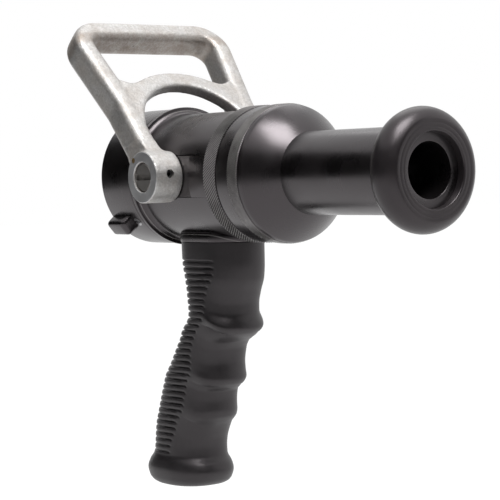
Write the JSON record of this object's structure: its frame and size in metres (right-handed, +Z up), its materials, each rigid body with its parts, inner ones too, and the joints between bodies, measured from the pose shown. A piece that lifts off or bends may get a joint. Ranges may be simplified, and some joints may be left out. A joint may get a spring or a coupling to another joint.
{
  "type": "fire hose nozzle",
  "caption": "Hand-line fire hose nozzle: swivel inlet coupling, ball shutoff valve with a bail handle, pistol grip and a smooth-bore tip with a rubber bumper.",
  "frame": {"origin": "centre of the inlet's mouth, on the waterway's axis", "axes": "+X along the flow to the tip, +Z up away from the grip; the bail pivots about Y"},
  "size_m": [0.2186, 0.0912, 0.2255],
  "materials": {
    "anodised": "black hard anodised, satin",
    "casting": "raw sand cast",
    "steel": "plain",
    "dark_steel": "dark, turned",
    "ball_metal": "polished",
    "brass": "plain",
    "seal": "matte",
    "bumper": "satin",
    "ptfe": "plain",
    "moulding": "satin moulded"
  },
  "bodies": {
    "body": {"valve_body": "anodised", "rear_seat": "ptfe", "front_seat": "ptfe", "seat_o_rings": "seal", "stem_washers": "ptfe", "outlet_collar": "anodised", "collar_o_ring": "seal", "swivel_o_ring": "seal", "grip_saddle": "anodised", "saddle_screws": "steel", "grip": "moulding", "grip_washer": "steel", "grip_screw": "steel"},
    "swivel": {"swivel_coupling": "anodised", "race_balls": "steel", "race_plug": "steel", "inlet_gasket": "seal"},
    "bail_assembly": {"bail": "casting", "bail_set_screws": "steel", "bail_pins": "brass", "stem_right": "dark_steel", "stem_left": "dark_steel", "stem_o_rings": "seal", "ball": "ball_metal"},
    "tip_follower": {"tip_gasket": "seal"},
    "tip": {"smooth_bore_tip": "anodised", "tip_bumper": "bumper"}
  },
  "joints": [
    {"name": "swivel_spin", "type": "hinge", "parent": "body", "child": "swivel", "pos_m": [0, 0, 0], "axis": [1, 0, 0], "continuous": true},
    {"name": "bail_swing", "type": "hinge", "parent": "body", "child": "bail_assembly", "pos_m": [0.0512, 0, 0], "axis": [0, 1, 0], "range_deg": [0, 85]},
    {"name": "tip_advance", "type": "slide", "parent": "body", "child": "tip_follower", "axis": [1, 0, 0], "range_m": [0, 0.0113]},
    {"name": "tip_turn", "type": "hinge", "parent": "tip_follower", "child": "tip", "pos_m": [0, 0, 0], "axis": [1, 0, 0], "range_deg": [0, 1440]}
  ],
  "couplings": [
    {"joint": "tip_advance", "follows": "tip_turn", "m_per_rad": 0.00044917}
  ]
}
